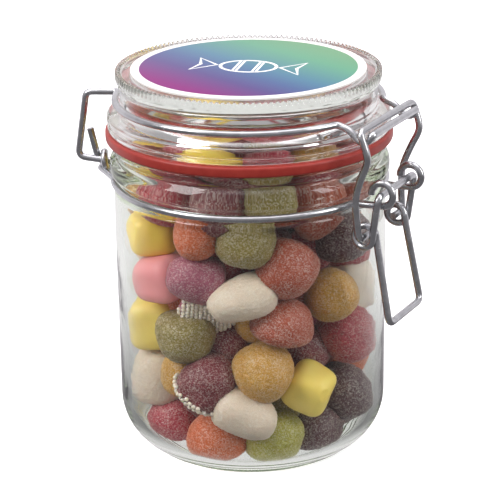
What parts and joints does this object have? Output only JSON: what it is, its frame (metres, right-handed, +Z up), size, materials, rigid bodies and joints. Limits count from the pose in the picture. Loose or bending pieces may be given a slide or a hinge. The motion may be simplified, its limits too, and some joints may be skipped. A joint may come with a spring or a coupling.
{
  "type": "jar of candy",
  "caption": "Clear clip-top glass jar with a glass lid, red rubber gasket and steel wire clasp, full of mixed sugared candy.",
  "frame": {"origin": "centre of the jar's flat foot, on the surface that it stands on", "axes": "+Z up along the jar's axis, +X towards the wire clasp, -X towards the hinge"},
  "size_m": [0.1109, 0.092, 0.1275],
  "materials": {
    "clear_glass": "pressed clear glass with a faint green tint",
    "red_rubber": "matt moulded rubber",
    "steel_wire": "drawn wire, bright zinc finish",
    "printed_film": "printed film, a white edge round a magenta to green gradient",
    "candy": "fruit jellies of many colours, most of them sugared"
  },
  "bodies": {
    "jar": {"glass_jar": "clear_glass", "glass_lid": "clear_glass", "rubber_gasket": "red_rubber", "lid_label": "printed_film", "lid_wire": "steel_wire", "neck_wire": "steel_wire", "candy_heap": "candy"},
    "lever": {"clasp_lever": "steel_wire"},
    "latch": {"clasp_latch": "steel_wire"}
  },
  "joints": [
    {"name": "lever_swing", "type": "hinge", "parent": "jar", "child": "lever", "pos_m": [0.052, 0, 0.0956], "axis": [0, -1, 0], "range_deg": [0, 95]},
    {"name": "latch_turn", "type": "hinge", "parent": "lever", "child": "latch", "pos_m": [0.0468, 0, 0.0818], "axis": [0, -1, 0], "range_deg": [-57, 0]}
  ],
  "couplings": [
    {"joint": "latch_turn", "follows": "lever_swing", "ratio": -0.59}
  ]
}
